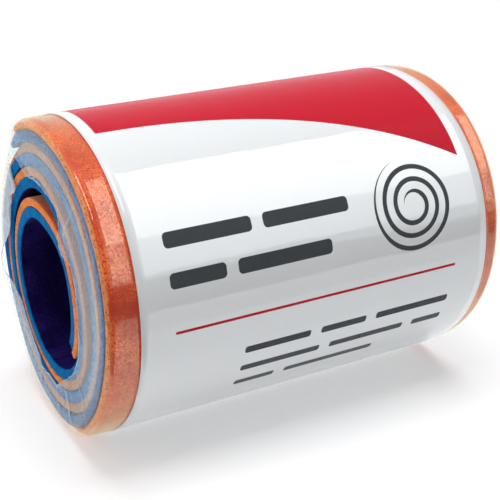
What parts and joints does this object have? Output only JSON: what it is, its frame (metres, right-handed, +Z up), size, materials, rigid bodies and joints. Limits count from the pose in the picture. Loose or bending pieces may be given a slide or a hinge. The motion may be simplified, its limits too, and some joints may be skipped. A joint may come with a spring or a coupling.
{
  "type": "rolled aluminium foam splint",
  "caption": "Padded aluminium splint: a foam-covered metal strip wound into a roll, with a paper band round it and clear film shrunk over it.",
  "frame": {"origin": "on the floor, under the middle of the roll as it lies on its side", "axes": "+X along the roll's axis, away from the torn-open end; +Z up; -Y towards the front"},
  "size_m": [0.109, 0.0784, 0.0806],
  "materials": {
    "foam_blue": "fine closed-cell foam, matt",
    "foam_orange": "fine closed-cell foam, matt",
    "aluminium": "soft rolled sheet",
    "label_paper": "coated paper, printed red and white",
    "clear_film": "clear shrink film, gloss"
  },
  "bodies": {
    "root": {"foam_blue": "foam_blue", "foam_orange": "foam_orange", "aluminium_core": "aluminium", "label_band": "label_paper", "shrink_film": "clear_film"}
  },
  "joints": []
}
